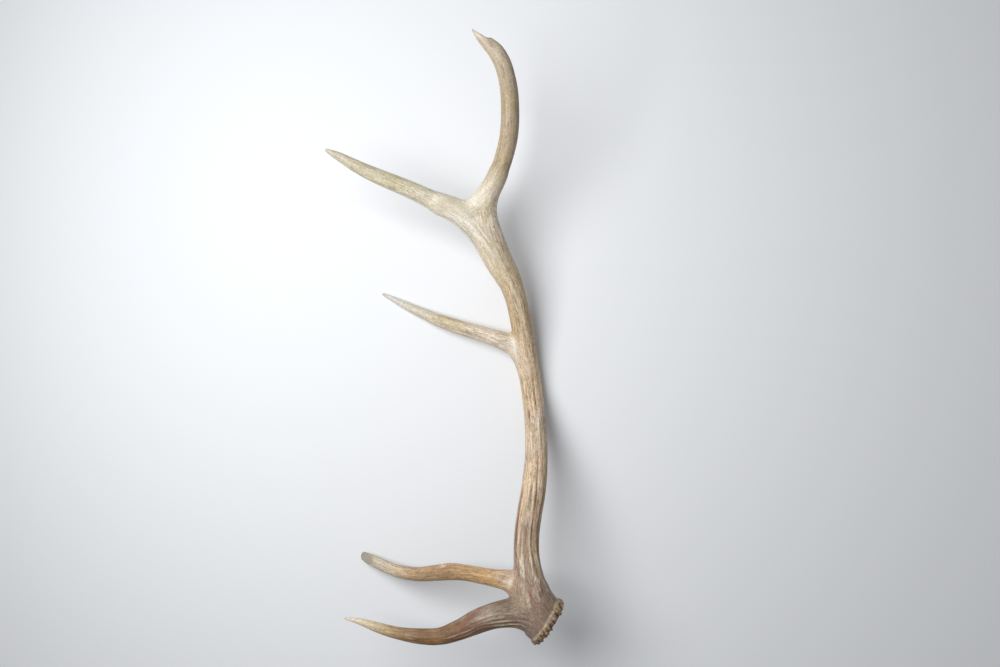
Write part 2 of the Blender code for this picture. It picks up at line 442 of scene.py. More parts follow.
@dataclass
class Burr:
    """The burr: a flared lip and collar, set with pearls, round the domed seat.

    The seat is the face that came away from the skull.
    """

    centre: Point = (148, -407.5, 156)
    outward: Point = (0.824, -0.566, 0.026)
    radius: float = 34.8
    depth: float = 8.0
    rounding: float = 2.5
    base_reach: float = 2.0
    seat_radius: float = 29.0
    seat_rise: float = 6.2
    dome_radius: float = 110.0
    flare: tuple[float, float, float] = (30.0, 6.2, 5.0)  # neck, rise to the lip, and its length
    lip_height: float = -2.0
    flare_depth: float = 15.0
    rows: tuple[PearlRow, ...] = (
        PearlRow(36, 35.7, (-3.9, -1.8), (1.6, 2.5), 0.3),
        PearlRow(28, 35.1, (-0.5, 1.5), (2.2, 3.4), 0.3),
        PearlRow(25, 32.8, (2.6, 4.6), (1.8, 2.9), 0.35),
    )
    seed: int = 11
    tone: str = "#94784f"
    lip_tone: str = "#b3aa92"

    COLLAR_FILLET = 4.0
    PEARL_FILLET = 0.5
    SEAT_ROUNDING = 2.0
    SEAT_FILLET = 1.5
    SWELL = 0.9  # how far the rim swells and shrinks
    SWELLS = 3.1  # lattice cells of the swell's noise in the rim's radius
    BAND_REACH = (29.5, 31.5)  # where the pearls' band begins, out from the axis
    BAND_EDGE = (4.1, 5.6)  # where it ends, to either side
    LIP_REACH = (31.5, 33.5)
    LIP_FOOT = (-9.5, -7.5)
    LIP_TOP = (-5.6, -4.4)
    LIP_WAVE = (1.6, 7.0)  # height of the lip's wavy edge, and length of its waves

    def __post_init__(self) -> None:
        """Sets out the burr's own axes and its pearls."""
        self.middle = np.array(self.centre, float)
        self.axis = unit(np.array(self.outward))
        turn = Vector(self.outward).normalized().to_track_quat("Z", "Y").to_matrix()
        self.frame = np.array(turn)
        draw = random.Random(self.seed)
        pearls = []
        for row in self.rows:
            for i in range(row.count):
                angle = 2 * math.pi * (i + draw.uniform(-row.sway, row.sway)) / row.count
                place = [math.cos(angle) * row.reach, math.sin(angle) * row.reach]
                place.append(draw.uniform(*row.heights))
                middle = self.middle + self.frame @ np.array(place)
                pearls.append([*middle, draw.uniform(*row.radii)])
        self.table = np.array(pearls)

    def local(self, points: Array) -> tuple[Array, Array]:
        """The points in the burr's own axes, and how far each lies out from its axis."""
        local = (points - self.middle) @ self.frame
        return local, np.linalg.norm(local[:, :2], axis=1)

    def heights(self, points: Array) -> Array:
        """How far each point lies along the burr's axis from its middle."""
        return (points - self.middle) @ self.axis

    def clearance(self, points: Array) -> Array:
        """The distance from the collar and its seat.

        The collar is a disc with a rounded rim that swells and shrinks a little round the burr. Up
        to its lip the neck flares out as neck + rise * exp((height - lip) / length). The seat is
        the part of a large sphere that stands out of the disc's face.
        """
        local, reach = self.local(points)
        compass = local / np.maximum(reach, 1)[:, None]
        rim = self.radius + self.SWELL * noise(compass * self.SWELLS + 40, 5)
        out = reach - rim + self.rounding
        over = np.abs(local[:, 2]) - self.depth / 2 + self.rounding
        corner = np.linalg.norm(np.clip(np.stack([out, over]), 0, None), axis=0)
        collar = corner + np.minimum(np.maximum(out, over), 0) - self.rounding
        neck, rise, length = self.flare
        up_to_lip = np.minimum(local[:, 2] - self.lip_height, 0)
        bell = reach - neck - rise * np.exp(up_to_lip / length) + self.radius - rim
        bell = np.maximum(bell, np.abs(local[:, 2] + self.flare_depth / 2) - self.flare_depth / 2)
        collar = smooth_min(collar, bell, self.rounding)
        below = np.array([0, 0, self.seat_rise - self.dome_radius])
        dome = np.linalg.norm(local - below, axis=1) - self.dome_radius
        seat = smooth_max(dome, reach - self.seat_radius, self.SEAT_ROUNDING)
        return smooth_min(collar, np.maximum(seat, -local[:, 2]), self.SEAT_FILLET)

    def pearl_clearance(self, points: Array) -> Array:
        """The distance from the nearest pearls, run together where they touch."""
        nearest = np.full(len(points), 1e3)
        for x, y, z, radius in self.table:
            sphere = np.linalg.norm(points - (x, y, z), axis=1) - radius
            nearest = smooth_min(nearest, sphere, self.PEARL_FILLET)
        return nearest

    def band(self, points: Array) -> Array:
        """1 in the band that the pearls cover, and 0 away from it."""
        local, reach = self.local(points)
        inside = 1 - smooth_step(*self.BAND_EDGE, np.abs(local[:, 2]))
        return smooth_step(*self.BAND_REACH, reach) * inside

    def lip(self, points: Array) -> Array:
        """1 on the pale lip beside the pearls, and 0 away from it."""
        local, reach = self.local(points)
        high, long = self.LIP_WAVE
        height = local[:, 2] + high * noise(points / long, 83)
        rise = smooth_step(*self.LIP_FOOT, height) * (1 - smooth_step(*self.LIP_TOP, height))
        return rise * smooth_step(*self.LIP_REACH, reach)

    def blanks(self) -> list[tuple[Array, Array]]:
        """The collar's disc and the pearls as plain closed grids, to be joined with the limbs."""
        half = self.depth / 2
        profile = [(0, -half - 6), (self.radius - 4, -half - 6), (self.radius, -half + 1)]
        profile += [(self.radius, half - 1), (self.radius - 1, half), (20, self.seat_rise - 2)]
        profile += [(0, self.seat_rise)]
        shapes = [self.turned(np.array(profile, float), self.middle, 64)]
        arc = np.linspace(-math.pi / 2, math.pi / 2, 9)
        for x, y, z, radius in self.table:
            ball = np.stack([np.cos(arc), np.sin(arc)], axis=1) * radius
            shapes.append(self.turned(ball, np.array([x, y, z]), 14))
        return shapes

    def turned(self, profile: Array, middle: Array, sides: int) -> tuple[Array, Array]:
        """A profile of (reach, height) turned about the burr's axis, through a middle point."""
        turn = np.linspace(0, 2 * math.pi, sides, endpoint=False)
        reach = profile[:, :1]
        height = np.broadcast_to(profile[:, 1:], (len(profile), sides))
        local = np.stack([reach * np.cos(turn), reach * np.sin(turn), height], axis=-1)
        return (local @ self.frame.T + middle).reshape(-1, 3), grid_faces(len(profile), sides)


class Ridges:
    """The bone's own relief: long ridges and grooves, finer ribs, and pearling near the burr."""

    RIDGE = (90.0, 7.0)  # length and width of a long ridge
    RIB = (60.0, 3.6)  # length and width of a fine rib
    PEARLING = (5.2, 3.9)  # length and width of a small pearl
    PEARLED = (0.35 * 250.0, 250.0)  # where pearling starts to fade along the beam, and ends
    RIDGE_HEIGHT = 0.42
    RIB_HEIGHT = 0.34
    FOLD = 2.6  # how steeply a rib falls from its crest
    PEARL_HEIGHT = 0.8

    @classmethod
    def height(cls, limb: Limb, number: int, reading: Reading) -> Array:
        """The relief's height over the smooth surface.

        It is a sum of noise stretched along the limb, folded at 0 for the ribs so that each has a
        crest, times the limb's own strength at that distance.

        Args:
            limb: the limb.
            number: its number, so that no two limbs share a pattern.
            reading: the points, measured against it.

        Returns:
            A height in millimetres for each point.
        """
        place = np.column_stack([reading.along, reading.across]) + 100
        broad = noise(place / (*cls.RIDGE, cls.RIDGE[1]), 10 + number)
        rib = noise(place / (*cls.RIB, cls.RIB[1]), 30 + number)
        folded = 1 - cls.FOLD * np.abs(rib)
        distances, strengths = np.array(limb.relief).T
        strength = np.interp(reading.along, distances, strengths)
        height = strength * (cls.RIDGE_HEIGHT * broad + cls.RIB_HEIGHT * folded)
        if limb.name == "beam":
            bead = np.clip(noise(place / (*cls.PEARLING, cls.PEARLING[1]), 50) - 0.1, 0, None)
            fade = 1 - smooth_step(*cls.PEARLED, reading.along)
            height += cls.PEARL_HEIGHT * fade * bead * (0.4 + np.clip(broad, 0, None))
        return height


@dataclass
class Form:
    """The whole antler as a field of clearance: below 0 inside it, above 0 outside."""

    limbs: tuple[Limb, ...]
    burr: Burr
    step: float = 0.2

    BASE_ROUNDING = 2.0
    BURR_REACH = 60.0  # nothing of the burr lies farther than this from its middle
    FLATTEST = 0.2  # keeps a step short where the field is nearly level
    SHARE_WIDTH = 3.0

    def clearance(self, points: Array, readings: list[Reading] | None = None) -> Array:
        """The distance from the antler's smooth surface, with every fillet."""
        readings = readings or [limb.read(points) for limb in self.limbs]
        total = readings[0].clearance
        for limb, reading in zip(self.limbs[1:], readings[1:], strict=True):
            total = smooth_min(total, reading.clearance, limb.fillet)
        total = smooth_max(
            total, self.burr.heights(points) - self.burr.base_reach, self.BASE_ROUNDING
        )
        near = np.linalg.norm(points - self.burr.middle, axis=1) < self.BURR_REACH
        some = points[near]
        foot = smooth_min(total[near], self.burr.clearance(some), self.burr.COLLAR_FILLET)
        total[near] = smooth_min(foot, self.burr.pearl_clearance(some), self.burr.PEARL_FILLET)
        return total

    def outward(self, points: Array, value: Array) -> Array:
        """The direction in which clearance grows fastest, by a small step along each axis."""
        slopes = [
            (self.clearance(points + np.eye(3)[axis] * self.step) - value) / self.step
            for axis in range(3)
        ]
        return np.stack(slopes, axis=1)

    def settle(self, points: Array, rounds: int = 3) -> tuple[Array, Array]:
        """Slides points onto the smooth surface, by Newton's steps along the slope.

        Args:
            points: rows of x, y and z near the surface.
            rounds: how many steps.

        Returns:
            The points on the surface, and the outward direction at each.
        """
        for _ in range(rounds):
            value = self.clearance(points)
            slope = self.outward(points, value)
            square = np.maximum((slope**2).sum(axis=1, keepdims=True), self.FLATTEST)
            points = points - value[:, None] * slope / square
        value = self.clearance(points)
        return points, unit(self.outward(points, value))

    def shares(self, readings: list[Reading]) -> Array:
        """How far each limb owns each point: exp(-clearance / width), made to add up to 1."""
        clearances = np.stack([reading.clearance for reading in readings])
        powers = np.exp(-np.clip(clearances - clearances.min(axis=0), 0, 60) / self.SHARE_WIDTH)
        return powers / powers.sum(axis=0)


# ---- The antler's limbs ----

BEAM_STATIONS: Stations = (
    (160, -416, 156.5, 34), (148, -408, 156, 33), (138.5, -395, 156.5, 30), (127, -367, 156, 25.4),
    (121, -343, 152, 21.4), (118.4, -316, 146, 18.8), (119, -285, 137, 18.4),
    (123.5, -257, 126, 18.5), (131, -223, 107, 18.7), (136.7, -185, 83, 17.7),
    (139.4, -145, 55, 17.1), (138.9, -115, 35, 17.1), (136.9, -88, 21, 17),
    (133.5, -62, 16.2, 17.1), (126.2, -20, 22, 17.6), (116.5, 35, 39.5, 17), (108.3, 67, 51, 16.8),
    (97.5, 97, 62, 18.3), (81.4, 127, 74, 20.1), (68.7, 157, 88, 19.5), (60.6, 183, 99, 18.3),
    (58, 205, 107, 17), (63.2, 221, 114, 15), (73.9, 243, 125, 13.7), (84.1, 270, 139, 13.5),
    (91.6, 300, 154, 13.5), (93, 338, 173, 13.1), (88.2, 375, 191, 12.5), (78.5, 401, 202, 12.1),
    (70, 413, 206, 11.4), (58.5, 423, 209.5, 9), (48, 432, 213, 6.6), (40.4, 439.2, 215.8, 3.4),
)
BROW_STATIONS: Stations = (
    (144, -404, 157, 29), (122, -393, 158, 27.2), (100, -393, 159, 21.8), (78, -395.5, 160, 19.2),
    (49, -404, 160, 17.5), (20, -418, 156, 14.7), (-8, -428, 151.5, 12.3), (-38, -429, 147.5, 11),
    (-67, -426, 143, 9), (-97, -419, 139, 7.5), (-126, -410, 135.5, 4.7), (-148, -405.5, 133, 1.6),
)
BEZ_STATIONS: Stations = (
    (121, -376, 156, 15.6), (112, -361, 152, 16), (99, -353, 146, 16.8), (88, -350.5, 139, 15),
    (78, -350, 133, 13.5), (55, -349, 118, 12), (31, -347.5, 103.5, 11.8), (7, -348.5, 89, 12.7),
    (-18, -353.5, 75, 12), (-43, -358.5, 60, 10.9), (-68, -359, 44, 10), (-90, -355.5, 31, 9.3),
    (-106, -350.5, 22, 8.9), (-121, -345.5, 12.6, 8.5), (-135, -340.5, 5, 6.6),
)
TREZ_STATIONS: Stations = (
    (130, -46, 20.5, 12), (116, -20, 22.5, 13), (102, -4, 25, 14.2), (90, 2.5, 26, 14.2),
    (77, 7, 25.5, 12.6), (52, 15, 23.5, 11.9), (27, 22, 20.5, 11.3), (1, 30.5, 17, 10.6),
    (-19, 38, 13.5, 9.4), (-38, 46.5, 10.4, 8), (-60, 56.5, 7.1, 6.7), (-79, 66, 4.5, 5.1),
    (-92, 72.5, 3.3, 3.6), (-103, 78, 2.5, 1.8),
)
CROWN_STATIONS: Stations = (
    (92, 102, 66, 14), (70, 136, 81, 17.3), (55, 160, 92.5, 17.6), (33, 183, 101.5, 17.2),
    (14, 197.2, 106, 16.6), (-1, 204.5, 108.5, 15.6), (-30, 218, 114, 13.8), (-53, 228, 119, 12.8),
    (-98, 245, 129, 11.5), (-118, 253, 134, 10.4), (-138, 262.5, 139.5, 8.7),
    (-155, 271.5, 144, 6.7), (-168, 277.5, 148.5, 4.3), (-174.4, 280.6, 150.8, 2.2),
)
WEB_STATIONS: Stations = (
    (-9, 208.5, 109.5, 12.5), (3, 206.5, 108.5, 12.5), (17, 202.5, 107.5, 12.3),
    (30, 202, 108, 12.5), (40, 205.5, 110, 12.4), (50, 213, 113, 12.4), (59.5, 223, 117, 11.9),
    (68.5, 236, 121.5, 11.3), (76, 249, 128, 10.3),
)


def crest(width: float, height: float, stain: float, *line: Pair) -> Crest:
    """A crest whose line's points are given last."""
    return Crest(line, width, height, stain)


BEAM_MARKS: Marks = (
    crest(1.5, 0.8, -0.42, (50, 34), (63, 28), (80, 24), (92, 20), (102, 18), (112, 14), (130, 9),
          (144, 9), (158, 6), (172, 2), (186, 1), (205, -4), (240, -9)),
    crest(1.25, -0.8, 0.45, (50, 54), (80, 38), (102, 31), (130, 22), (158, 18), (186, 14),
          (205, 10), (230, 5), (258, 4), (283, 3), (320, 2)),
    crest(1.8, 0.5, -0.3, (190, 24), (213, 18), (234, 18), (258, 12), (285, 11), (310, 11),
          (345, 9)),
    crest(1.3, 0.6, -0.4, (65, 76), (90, 62), (109, 48), (130, 40), (152, 38), (172, 40), (205, 44),
          (245, 38)),
    crest(1.3, -0.7, 0.45, (85, 84), (120, 58), (160, 50), (200, 52), (250, 30), (300, 22),
          (345, 20)),
    crest(1.1, -0.4, 0.4, (92, 10), (112, 4), (130, -2), (155, -6)),
    crest(1.15, 0.45, -0.5, (78, -24), (88, -23), (97, -20), (102, -26), (109, -37), (116, -43),
          (124, -55), (138, -42), (156, -52)),
    crest(4.5, -0.2, 0.3, (72, -44), (95, -56), (125, -72), (175, -68), (240, -62)),
    crest(1.6, -0.3, 0.2, (120, -78), (175, -66), (230, -62)),
    # Partly a real brown stain and partly painted shade, down the lower beam's right, shaded side.
    crest(8.0, 0.0, 0.4, (60, 74), (110, 64), (200, 62), (320, 58)),
    crest(2.2, 0.5, -0.65, (408, -66), (444, -53), (462, -51), (478, -58), (492, -66)),
    crest(0.9, -0.9, 1.0, (332, 4), (352, 7), (373, 6), (402, 10), (424, 12)),
    crest(2.4, 0.4, -0.2, (262, 2), (278, 6), (319, 10), (338, 12)),
    crest(3.6, 0.7, -0.1, (460, 26), (500, 20), (531, 15), (556, 8), (571, -4), (616, -8),
          (640, -22), (672, -44)),
    crest(5.0, 0.45, -0.45, (605, -8), (634, -19), (650, -32), (664, -45), (679, -52), (696, -67),
          (720, -75)),
    crest(5.5, -0.3, 0.3, (600, 10), (629, 6), (646, -4), (672, -12), (705, -8)),
    Knob(343, -36, 9, 2.4, -0.7, 0.9),
    Knob(65, 34, 5, 3, -0.6, 0.9),
    Knob(41, 28, 11, 9, -0.9, -0.15),
    crest(1.8, -0.3, 1.0, (32, -6), (52, -9), (74, -8)),
    Knob(948, 0, 8, 4, -0.4, 0.35),
    Knob(972, 0, 7, 12, 0.0, -0.3),
    Knob(705, 88, 14, 11, 1.6, 0.0),
)
BROW_MARKS: Marks = (
    crest(1.5, 0.4, -0.2, (38, 8), (70, 17), (95, 20), (128, 22)),
    crest(1.2, -0.4, 0.35, (38, 0), (70, 4), (98, 10), (130, 12)),
    crest(1.3, -0.8, 0.45, (16, -20), (41, -9), (70, -10), (98, 0), (121, 3), (165, 2)),
    crest(1.4, 0.5, -0.25, (16, -28), (41, -17), (70, -18), (98, -7), (121, -7), (165, -8)),
    crest(1.3, -0.9, 0.5, (16, -37), (41, -25), (70, -28), (98, -14), (121, -17), (165, -18)),
    crest(1.4, 0.5, -0.25, (20, -44), (41, -33), (70, -38), (98, -22), (121, -27), (155, -28)),
    crest(1.3, -0.9, 0.5, (20, -54), (41, -41), (70, -50), (98, -30), (121, -38), (155, -40)),
    crest(5.0, 0.0, 0.55, (76, 90), (100, 67), (116, 42), (140, 30)),
)
BEZ_MARKS: Marks = (
    Knob(152, 72, 6, 5, 1.4, -0.2),
    Knob(33, 0, 4, 12, 0.2, -0.6),
    Knob(26, 8, 3, 4, 0.0, 0.5),
)
TREZ_MARKS: Marks = (
    Knob(46, 0, 11, 15, 0.2, -0.45),
    crest(2.2, 0.5, -0.6, (18, -48), (27, -37), (43, -8), (55, 28), (62, 44)),
)
CROWN_MARKS: Marks = (
    crest(5.0, 0.45, -0.45, (30, 2), (53, -1), (70, -10), (85, -16), (102, -5), (119, 8), (136, 8),
          (190, 22)),
    crest(5.5, -0.3, 0.3, (50, 20), (83, 14), (104, 22)),
)


def antler_limbs() -> tuple[Limb, ...]:
    """The beam, its four tines and the crown's web, with their tones, relief and marks."""
    beam = Limb(
        "beam", BEAM_STATIONS,
        tones=((0, "#7d614c"), (60, "#8e7869"), (140, "#b19982"), (220, "#d4bb9f"),
               (320, "#c9b296"), (440, "#d4bb9b"), (530, "#c3ab88"), (620, "#d5c0a1"),
               (680, "#e3d8c1"), (760, "#a89679"), (860, "#a99780"), (980, "#baad95")),
        relief=((0, 1.0), (120, 1.1), (330, 0.9), (600, 0.6), (860, 0.4), (980, 0.0)),
        grain=((0, 1.0), (700, 1.0), (850, 0.7), (980, 0.5)),
        marks=BEAM_MARKS,
        broken=Break((48.6, 434.4, 213), (0.51, 0.85, 0.25),
                     ((60.5, 427.5, 211), (-0.62, 0.78, 0.1))),
    )
    brow = Limb(
        "brow", BROW_STATIONS,
        tones=((0, "#85756b"), (70, "#7c6957"), (110, "#755642"), (155, "#7b5739"),
               (205, "#85653d"), (235, "#ac9169"), (270, "#cfbe9b"), (310, "#e1d3be")),
        relief=((0, 1.0), (150, 0.8), (240, 0.3), (300, 0.0)),
        fillet=15,
        grain=((0, 1.0), (230, 1.0), (300, 0.35)),
        marks=BROW_MARKS,
    )
    bez = Limb(
        "bez", BEZ_STATIONS,
        tones=((0, "#9e9085"), (60, "#c39e6d"), (150, "#ac8965"), (210, "#b69877"),
               (250, "#c9b79c"), (290, "#bfb39b")),
        relief=((0, 0.8), (80, 0.5), (200, 0.4), (290, 0.2)),
        fillet=10,
        marks=BEZ_MARKS,
        broken=Break((-126.2, -343, 14.4), (-0.7, 0.31, 0.64)),
    )
    trez = Limb(
        "trez", TREZ_STATIONS,
        tones=((0, "#d0bda9"), (70, "#ded0bb"), (160, "#cbbca0"), (230, "#cec7b6"),
               (270, "#d7d5d3")),
        relief=((0, 0.6), (80, 0.45), (180, 0.3), (250, 0.0)),
        fillet=10,
        grain=((0, 0.9), (150, 0.8), (240, 0.4)),
        marks=TREZ_MARKS,
    )
    crown = Limb(
        "crown", CROWN_STATIONS,
        tones=((0, "#d4c4a4"), (120, "#ded6c6"), (220, "#cec5a9"), (290, "#c5bba1"),
               (340, "#c1bba3")),
        relief=((0, 0.5), (140, 0.45), (260, 0.3), (330, 0.0)),
        fillet=9,
        grain=((0, 0.8), (200, 0.8), (330, 0.6)),
        marks=CROWN_MARKS,
    )
    web = Limb(
        "crown_web", WEB_STATIONS,
        tones=((0, "#d9d0bd"), (60, "#ddd5c4"), (110, "#d9d0bd")),
        relief=((0, 0.1), (110, 0.1)),
        fillet=12,
        polish=0.1,
        grain=((0, 0.3),),
    )
    return beam, brow, bez, trez, crown, web


# ---- The mesh ----


class Layer(Enum):
    """What the mesh tells its material at each vertex, and the kind of value that it is."""

    BEAM_GRAIN = ("beam_grain", "FLOAT_VECTOR")
    TINE_GRAIN = ("tine_grain", "FLOAT_VECTOR")
    TINE_SHARE = ("tine_share", "FLOAT")
    GRAIN_FADE = ("grain_fade", "FLOAT")
    RELIEF = ("relief", "FLOAT")
    # the marks' stain, with painted shade on the lower beam's shaded side
    STAIN_AND_SHADE = ("stain", "FLOAT")
    POLISH = ("polish", "FLOAT")
    BROKEN = ("broken", "FLOAT")
    GROUND = ("ground", "FLOAT_COLOR")


@dataclass
class Antler:
    """The antler's mesh: plain tubes, made one skin, then given the bone's form and relief."""

    form: Form
    box: tuple[Point, Point]
    voxel: float = 1.67
    sides: int = 40
    limb_pitch: float = 1700.0  # keeps the limbs' patterns apart, along the grain
    relief_scale: float = 1.1

    NODES = (
        "burr_base",
        "brow_tine",
        "bez_tine",
        "lower_beam",
        "upper_beam",
        "trez_tine",
        "crown_front_tine",
        "crown_rear_tine",
    )
    BREAK_REACH = 22.0  # nothing of a broken end lies farther than this from its middle
    BREAK_EDGE = (-0.9, -0.2)  # where bare bone begins under a break's plane
    SEAT_EDGE = (2.0, 3.6)  # where the seat's bare bone begins, along the burr's axis
    SEAT_RIM = (27.5, 30.5)  # where it ends, out from the axis
    SEAT_BARE = 0.65
    PEARL_GAP_SHADE = (-0.3, 0.6)  # a pearl's clearance where the painted shade in the gap beside it begins and is full
    BURR_COVER = 0.7  # how much the burr's own tones hide the limbs'
    RUBBED = 0.8  # polish of the pearls

    def blank(self) -> bpy.types.Mesh:
        """All the tubes, the collar and the pearls as one mesh of closed, overlapping shells."""
        shells = bmesh.new()
        for limb in self.form.limbs:
            tube = self.shell(*limb.tube(self.sides))
            cuts = []
            if limb.broken and not limb.broken.step:
                cuts.append((limb.broken.point, limb.broken.outward))
            burr = self.form.burr
            seat = burr.middle + burr.axis * burr.base_reach
            for point, outward in [*cuts, (seat, burr.axis)]:
                self.cut(tube, np.array(point), unit(np.array(outward)))
            self.join(shells, tube)
        for points, faces in self.form.burr.blanks():
            self.join(shells, self.shell(points, faces))
        blank = bpy.data.meshes.new("antler_blank")
        shells.to_mesh(blank)
        shells.free()
        return blank

    @staticmethod
    def shell(points: Array, faces: Array) -> bmesh.types.BMesh:
        """A closed grid as a bmesh, with its poles welded and its faces outward."""
        mesh = bpy.data.meshes.new("shell")
        mesh.from_pydata((points * MM).tolist(), [], faces.tolist())
        shape = bmesh.new()
        shape.from_mesh(mesh)
        bpy.data.meshes.remove(mesh)
        bmesh.ops.remove_doubles(shape, verts=shape.verts, dist=0.01 * MM)
        bmesh.ops.recalc_face_normals(shape, faces=shape.faces)
        return shape

    @staticmethod
    def join(shells: bmesh.types.BMesh, part: bmesh.types.BMesh) -> None:
        """Moves one closed shell in beside the others."""
        mesh = bpy.data.meshes.new("part")
        part.to_mesh(mesh)
        part.free()
        shells.from_mesh(mesh)
        bpy.data.meshes.remove(mesh)

    @staticmethod
    def cut(shape: bmesh.types.BMesh, point: Array, outward: Array) -> None:
        """Drops what lies beyond a plane, and closes the cut."""
        parts = shape.verts[:] + shape.edges[:] + shape.faces[:]
        bmesh.ops.bisect_plane(
            shape, geom=parts, plane_co=point * MM, plane_no=outward, clear_outer=True
        )
        rim = [edge for edge in shape.edges if edge.is_boundary]
        bmesh.ops.holes_fill(shape, edges=rim, sides=0)

    def skin(self, blank: bpy.types.Mesh) -> bpy.types.Mesh:
        """One even skin over the overlapping shells, by a voxel remesh."""
        holder = add_object("antler_skin", blank)
        remesh = holder.modifiers.new("skin", "REMESH")
        remesh.mode = "VOXEL"
        remesh.voxel_size = self.voxel * MM
        graph = bpy.context.evaluated_depsgraph_get()
        mesh = bpy.data.meshes.new_from_object(holder.evaluated_get(graph))
        bpy.data.objects.remove(holder)
        bpy.data.meshes.remove(blank)
        return mesh

    def build(self) -> bpy.types.Object:
        """Makes the finished antler and ties it to the frame.

        The skin's vertices settle on the smooth form, then move out along its slope by the relief,
        and those that would pass through the floor, or out of the frame's box, stay on its side.

        Returns:
            The antler's object.
        """
        mesh = self.skin(self.blank())
        places = np.empty(len(mesh.vertices) * 3)
        mesh.vertices.foreach_get("co", places)
        points, outward = self.form.settle(places.reshape(-1, 3) / MM)
        readings = [limb.read(points) for limb in self.form.limbs]
        shares = self.form.shares(readings)
        height, stain = self.relief(readings, shares)
        broken = self.broken(points, readings, shares)
        height *= 1 - 0.8 * broken
        height += self.breakage(points, broken)
        # the burr's painted shade and painted highlights go into the relief's tone
        tone = self.pearl_shade_and_highlight(points, height / self.relief_scale)
        points = points + outward * height[:, None]
        low, high = np.array(self.box) / MM
        points = np.clip(points, low, high)
        mesh.vertices.foreach_set("co", (points * MM).ravel())
        self.write_layers(mesh, points, readings, shares, tone, stain, broken)
        mesh.name = "antler"
        mesh.shade_smooth()
        antler = add_object("antler", mesh)
        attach(antler, "root")
        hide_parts(*self.NODES)
        LOG.info("antler: %d vertices, %d faces", len(mesh.vertices), len(mesh.polygons))
        return antler

    def relief(self, readings: list[Reading], shares: Array) -> tuple[Array, Array]:
        """The height of the bone's relief and marks, and how deeply each point is stained, painted
        shade included.
        """
        height = np.zeros(shares.shape[1])
        stain = np.zeros(shares.shape[1])
        for number, (limb, reading) in enumerate(zip(self.form.limbs, readings, strict=True)):
            own = Ridges.height(limb, number, reading)
            for mark in limb.marks:
                bell = mark.bell(reading.along, reading.angle, reading.radius)
                own += mark.height * bell
                stain += mark.stain * bell * shares[number]
            height += own * shares[number]
        return height, np.clip(stain, -1, 1)

    def broken(self, points: Array, readings: list[Reading], shares: Array) -> Array:
        """How far each point is bare inner bone, on the seat or on a broken end."""
        bare = np.zeros(len(points))
        for limb, share in zip(self.form.limbs, shares, strict=True):
            if limb.broken:
                lift = limb.broken.height(points)
                offset = np.linalg.norm(points - np.array(limb.broken.point), axis=1)
                near = offset < self.BREAK_REACH
                bare = np.maximum(bare, smooth_step(*self.BREAK_EDGE, lift) * near * share)
        local, reach = self.form.burr.local(points)
        inside = 1 - smooth_step(*self.SEAT_RIM, reach)
        seat = smooth_step(*self.SEAT_EDGE, local[:, 2]) * inside
        return np.maximum(bare, self.SEAT_BARE * seat)

    def pearl_shade_and_highlight(self, points: Array, tone: Array) -> Array:
        """The relief's tone, dark with painted shade between the burr's pearls and pale with a
        painted highlight on most of them.

        Args:
            points: rows of x, y and z on the surface.
            tone: the relief at each, from -1 in a groove to 1 on a crest.

        Returns:
            The tone with the pearls' own in their band.
        """
        burr = self.form.burr
        band = burr.band(points)
        some = np.flatnonzero(band > 0)
        # painted shade: the gaps between the pearls go to -1; painted highlight: the tops go pale
        # where the noise is high
        gap_shade = smooth_step(*self.PEARL_GAP_SHADE, burr.pearl_clearance(points[some]))
        top = 0.15 + 1.1 * noise(points[some] / 4.5, 81)
        tone = tone.copy()
        tone[some] += band[some] * ((1 - gap_shade) * top - gap_shade - tone[some])
        return tone

    @staticmethod
    def breakage(points: Array, broken: Array) -> Array:
        """The rough grain of bare inner bone, which is coarse and pitted."""
        return broken * (0.45 * noise(points / 3.4, 71) + 0.35 * noise(points / 7.5, 72))

    def write_layers(
        self,
        mesh: bpy.types.Mesh,
        points: Array,
        readings: list[Reading],
        shares: Array,
        tone: Array,
        stain: Array,
        broken: Array,
    ) -> None:
        """Writes every layer that the material reads.

        Grain coordinates are (distance along, and the two offsets across) in metres. The beam's
        are given everywhere. The tines share one set, from the tine that owns most of the point,
        and the grain fades where two tines own the same point.

        Args:
            mesh: the mesh to write them on.
            points: its vertices in mm.
            readings: the vertices measured against each limb.
            shares: how far each limb owns each vertex.
            tone: the relief's tone, with painted shade between the pearls and painted highlights on
                them.
            stain: how deeply each vertex is stained, painted shade included, or how pale it is
                below 0.
            broken: how far each vertex is bare inner bone.
        """
        pitch = np.arange(len(readings)) * self.limb_pitch
        grains = [
            np.column_stack([reading.along + pitch[i], reading.across]) * MM
            for i, reading in enumerate(readings)
        ]
        tines = shares[1:]
        leader = tines.argmax(axis=0)
        tine_grain = np.stack(grains[1:])[leader, np.arange(tines.shape[1])]
        ranked = np.sort(tines, axis=0)
        ground = np.zeros((shares.shape[1], 4))
        polish = np.zeros(shares.shape[1])
        fade = np.zeros(shares.shape[1])
        for limb, reading, share in zip(self.form.limbs, readings, shares, strict=True):
            distances = [distance for distance, _ in limb.tones]
            colours = np.array([linear(colour) for _, colour in limb.tones])
            shade = [np.interp(reading.along, distances, colours[:, k]) for k in range(4)]
            ground += np.stack(shade, axis=1) * share[:, None]
            polish += smooth_step(limb.length - limb.polish, limb.length, reading.along) * share
            places, strengths = np.array(limb.grain).T
            fade += np.interp(reading.along, places, strengths) * share
        burr = self.form.burr
        band = burr.band(points)
        for own, colour in ((burr.lip(points), burr.lip_tone), (band, burr.tone)):
            ground += self.BURR_COVER * own[:, None] * (np.array(linear(colour)) - ground)
